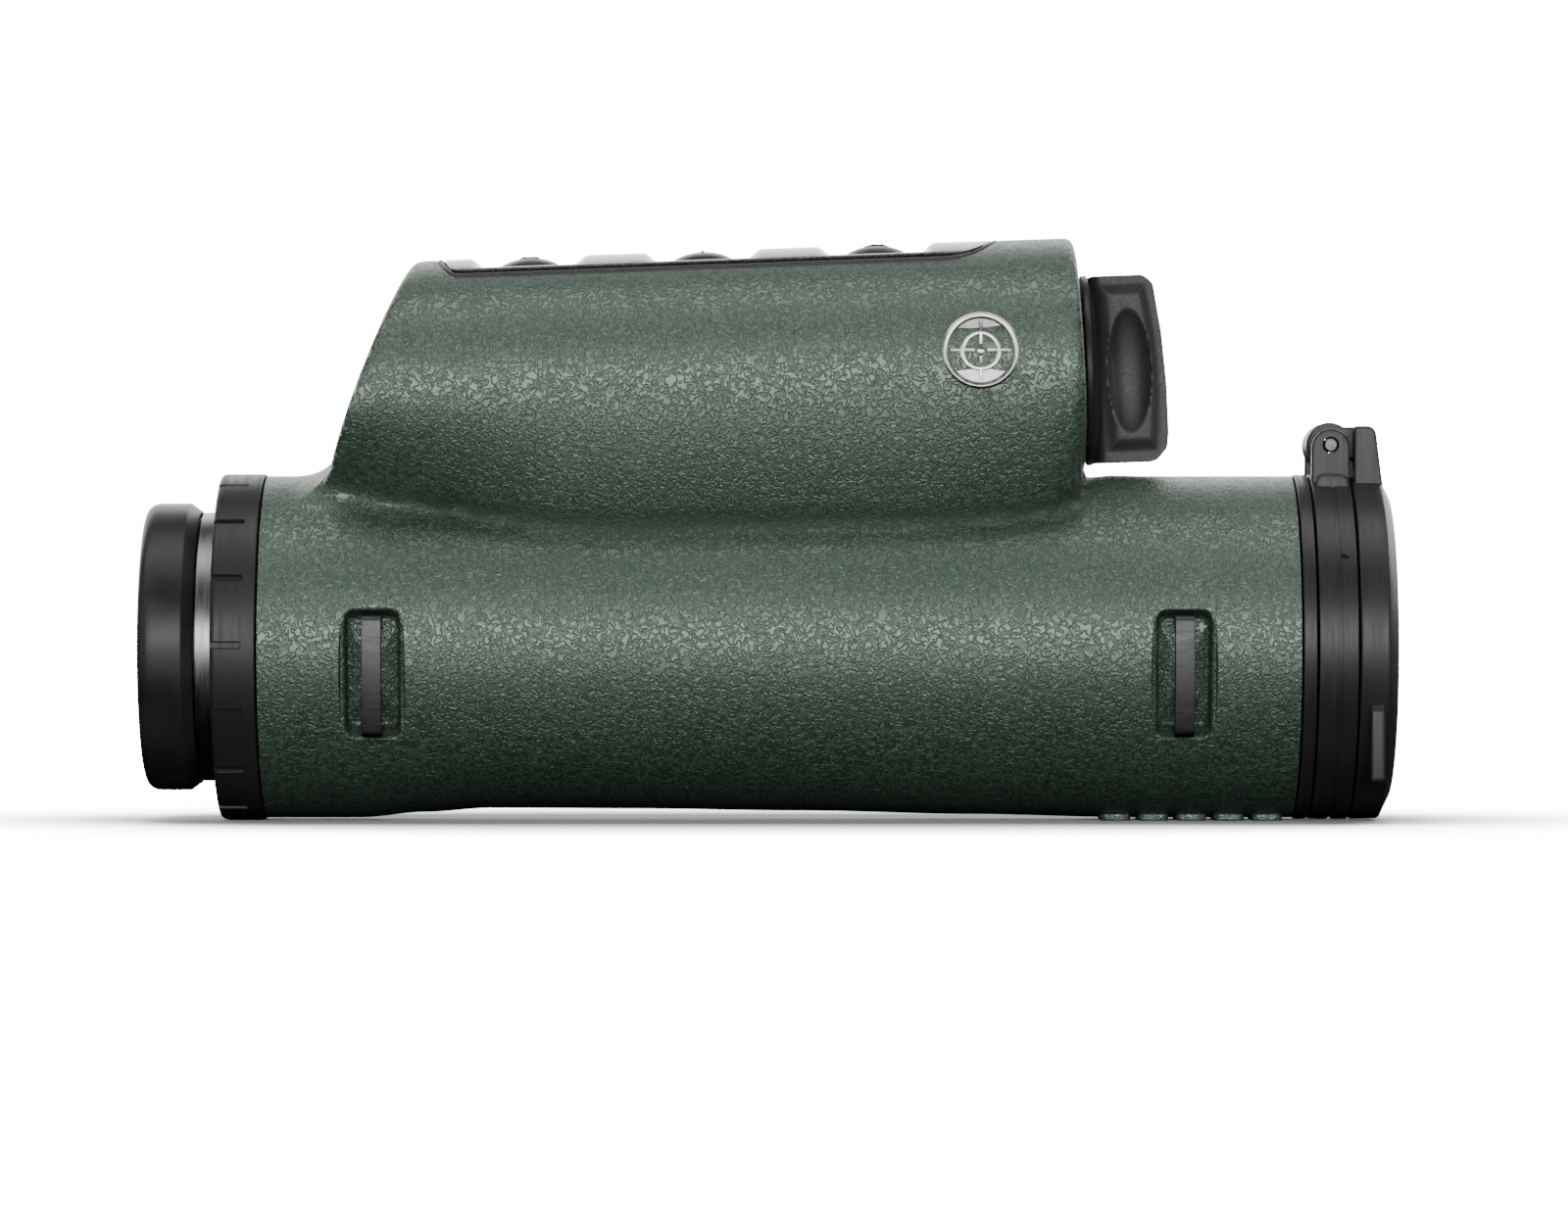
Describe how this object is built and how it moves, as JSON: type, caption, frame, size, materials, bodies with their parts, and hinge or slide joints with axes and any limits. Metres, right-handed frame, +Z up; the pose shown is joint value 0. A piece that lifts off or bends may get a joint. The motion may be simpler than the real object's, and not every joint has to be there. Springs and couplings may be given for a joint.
{
  "type": "laser rangefinder",
  "caption": "Handheld rangefinder: rubber-armoured tube with an upper button and battery housing, twist-up eyecup, dioptre ring and flip-up objective lid.",
  "frame": {"origin": "bottom centre of the bounding box, on the surface the object stands on", "axes": "+X to the objective, +Z up, -Y the side with the badge"},
  "size_m": [0.1806, 0.0524, 0.0846],
  "materials": {
    "green_rubber": "fine leathery grain",
    "black_rubber": "satin",
    "black_plastic": "fine spark texture",
    "black_metal": "satin anodised",
    "chassis_metal": "cast and machined",
    "silver_metal": "satin",
    "gunmetal": "satin",
    "contact_brass": "plated",
    "optical_glass": "coated",
    "circuit_board": "solder mask",
    "sleeve_plastic": "moulded",
    "cell_wrap": "shrink wrap"
  },
  "bodies": {
    "body": {"armour": "green_rubber", "main_housing": "chassis_metal", "control_panel": "black_plastic", "panel_seal": "black_rubber", "button_board": "circuit_board", "switch_rear": "gunmetal", "switch_middle": "gunmetal", "switch_front": "gunmetal", "battery_cell": "cell_wrap", "battery_sleeve": "sleeve_plastic", "rear_contact": "contact_brass", "contact_spring": "gunmetal", "main_board": "circuit_board", "laser_module": "black_metal", "receiver_module": "black_plastic", "beam_splitter": "optical_glass", "prism_block": "optical_glass", "display_module": "black_plastic", "field_lens": "optical_glass", "eye_lens": "optical_glass", "eye_lens_retainer": "black_metal", "eyepiece_barrel": "silver_metal", "objective_cell": "black_metal", "objective_lens": "optical_glass", "focus_lens": "optical_glass", "objective_retainer": "black_metal", "bezel_ring": "black_metal", "lid_clamp_ring": "black_metal", "hinge_pin": "silver_metal", "side_badge": "silver_metal", "strap_lug_rear_near": "gunmetal", "strap_lug_rear_far": "gunmetal", "strap_lug_front_near": "gunmetal", "strap_lug_front_far": "gunmetal"},
    "diopter": {"diopter_ring": "black_metal"},
    "eyecup_guide": {"eyecup_guide": "black_plastic"},
    "eyecup": {"eyecup": "black_rubber"},
    "button_rear": {"button_rear": "black_rubber"},
    "button_middle": {"button_middle": "black_rubber"},
    "button_front": {"button_front": "black_rubber"},
    "cap_seal": {"cap_o_ring": "black_rubber"},
    "battery_cap": {"battery_cap": "black_plastic", "cap_plug": "black_metal", "cap_contact": "contact_brass"},
    "lid": {"lens_lid": "black_metal", "lid_seal": "black_rubber"}
  },
  "joints": [
    {"name": "diopter_turn", "type": "hinge", "parent": "body", "child": "diopter", "pos_m": [-0.076, 0, 0.0252], "axis": [1, 0, 0], "range_deg": [-60, 60]},
    {"name": "eyecup_twist", "type": "hinge", "parent": "body", "child": "eyecup_guide", "pos_m": [-0.0855, 0, 0.0252], "axis": [-1, 0, 0], "range_deg": [0, 120]},
    {"name": "eyecup_rise", "type": "slide", "parent": "eyecup_guide", "child": "eyecup", "axis": [-1, 0, 0], "range_m": [0, 0.006]},
    {"name": "press_rear", "type": "slide", "parent": "body", "child": "button_rear", "axis": [0.0356, 0, -0.9994], "range_m": [0, 0.0008], "stiffness_N_per_m": 1000, "springref_m": -0.001},
    {"name": "press_middle", "type": "slide", "parent": "body", "child": "button_middle", "axis": [0.0356, 0, -0.9994], "range_m": [0, 0.0008], "stiffness_N_per_m": 1000, "springref_m": -0.001},
    {"name": "press_front", "type": "slide", "parent": "body", "child": "button_front", "axis": [0.0356, 0, -0.9994], "range_m": [0, 0.0008], "stiffness_N_per_m": 1000, "springref_m": -0.001},
    {"name": "battery_cap_pull", "type": "slide", "parent": "body", "child": "cap_seal", "axis": [0.9994, 0, 0.0356], "range_m": [0, 0.012]},
    {"name": "battery_cap_turn", "type": "hinge", "parent": "cap_seal", "child": "battery_cap", "pos_m": [0.04596, 0, 0.06542], "axis": [0.9994, 0, 0.0356], "range_deg": [0, 90]},
    {"name": "lid_hinge", "type": "hinge", "parent": "body", "child": "lid", "pos_m": [0.08156, 0, 0.05445], "axis": [0, -1, 0], "range_deg": [0, 180]}
  ],
  "couplings": [
    {"joint": "eyecup_twist", "follows": "eyecup_rise", "rad_per_m": 349}
  ]
}
